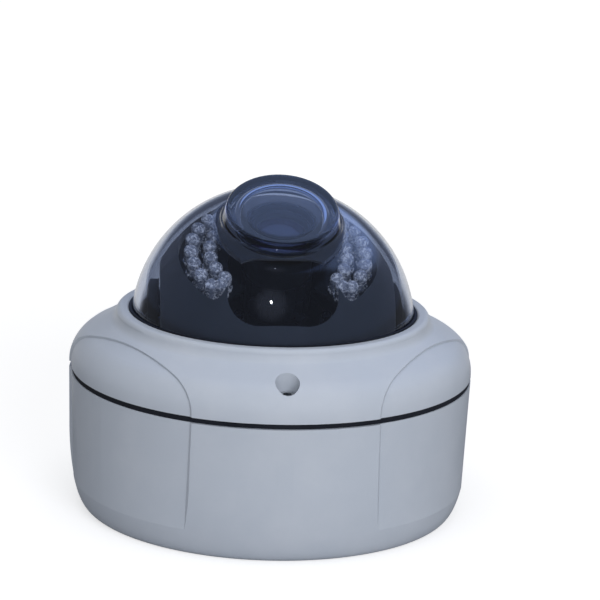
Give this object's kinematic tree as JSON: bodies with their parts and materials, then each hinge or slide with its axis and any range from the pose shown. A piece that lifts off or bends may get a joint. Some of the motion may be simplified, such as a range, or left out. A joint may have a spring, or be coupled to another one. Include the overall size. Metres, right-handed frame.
{
  "type": "dome security camera",
  "caption": "Round ceiling dome camera: cast base and cover, clear dome with a raised lens window, and a black eyeball with infrared emitters that pans, tilts and turns.",
  "frame": {"origin": "centre of the mounting holes on the flat mounting face of the base", "axes": "+Z out of the mounting face along the dome, -Y towards the side the lens leans to at rest"},
  "size_m": [0.1456, 0.1451, 0.1237],
  "materials": {
    "white_casting": "white powder coat on die-cast aluminium",
    "black_rubber": "matt black rubber",
    "clear_dome": "clear polycarbonate",
    "black_plastic": "fine matt moulded black",
    "ball_plastic": "fine matt moulded black",
    "steel": "zinc-plated steel",
    "circuit_board": "solder mask",
    "components": "moulded",
    "led_epoxy": "clear epoxy",
    "sensor_cell": "clear window over a light cell",
    "lens_black": "satin black",
    "lens_glass": "coated optical glass"
  },
  "bodies": {
    "housing": {"base_housing": "white_casting", "housing_gasket": "black_rubber", "cover": "white_casting", "cover_screws": "steel", "cable_grommet": "black_rubber", "dome_seal": "black_rubber", "dome_clamp_ring": "black_plastic", "clamp_ring_screws": "steel", "main_board": "circuit_board", "board_components": "components", "board_screws": "steel", "pan_base": "black_plastic", "pan_base_screws": "steel", "pan_clip": "steel"},
    "dome": {"dome_cover": "clear_dome"},
    "turntable": {"pan_turntable": "black_plastic", "yoke_arm_right": "black_plastic", "yoke_arm_left": "black_plastic", "yoke_screws": "steel"},
    "eyeball": {"eyeball_front": "ball_plastic", "eyeball_rear": "ball_plastic", "tilt_pivots": "steel", "module_frame": "black_plastic", "led_board": "circuit_board", "ir_leds": "led_epoxy", "light_sensor": "sensor_cell", "led_board_screws": "steel"},
    "camera_module": {"sensor_board": "circuit_board", "lens_mount": "black_plastic", "lens_barrel": "lens_black", "lens_glass": "lens_glass", "lens_shroud": "black_rubber"},
    "focus_ring": {"focus_ring": "lens_black"},
    "zoom_ring": {"zoom_ring": "lens_black"}
  },
  "joints": [
    {"name": "pan", "type": "hinge", "parent": "housing", "child": "turntable", "pos_m": [0, 0, 0.0147], "axis": [0, 0, 1], "range_deg": [-175, 175]},
    {"name": "dome_turn", "type": "hinge", "parent": "housing", "child": "dome", "pos_m": [0, 0, 0.0663], "axis": [0, 0, 1], "range_deg": [-175, 175]},
    {"name": "tilt", "type": "hinge", "parent": "turntable", "child": "eyeball", "pos_m": [0, 0, 0.0663], "axis": [1, 0, 0], "range_deg": [-25, 50]},
    {"name": "lens_roll", "type": "hinge", "parent": "eyeball", "child": "camera_module", "pos_m": [0, 0, 0.0663], "axis": [0, -0.4226, 0.9063], "range_deg": [-90, 90]},
    {"name": "focus", "type": "hinge", "parent": "camera_module", "child": "focus_ring", "pos_m": [0, 0, 0.0663], "axis": [0, -0.4226, 0.9063], "range_deg": [-50, 50]},
    {"name": "zoom", "type": "hinge", "parent": "camera_module", "child": "zoom_ring", "pos_m": [0, 0, 0.0663], "axis": [0, -0.4226, 0.9063], "range_deg": [-40, 40]}
  ],
  "couplings": [
    {"joint": "dome_turn", "follows": "pan", "ratio": 1}
  ]
}
